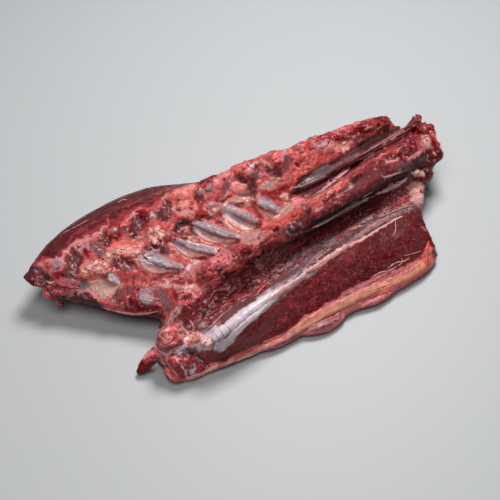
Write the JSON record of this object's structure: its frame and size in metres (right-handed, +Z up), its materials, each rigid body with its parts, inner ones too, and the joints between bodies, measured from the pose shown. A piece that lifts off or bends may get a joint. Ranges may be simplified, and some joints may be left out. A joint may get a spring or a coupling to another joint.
{
  "type": "raw venison backbone",
  "caption": "Raw deer backbone lying inside up: knuckled chine, sawn rib ends round a shallow trough with rib faces, and one loin with silver skin and back fat.",
  "frame": {"origin": "middle of the flat underside, at the middle of the piece's length and width", "axes": "+X along the backbone from the torn chest end to the loin end, +Y from the loin side to the far flank, +Z up"},
  "size_m": [0.5248, 0.268, 0.093],
  "materials": {
    "meat": "wet raw muscle, bone and fat"
  },
  "bodies": {
    "root": {"backbone": "meat"}
  },
  "joints": []
}
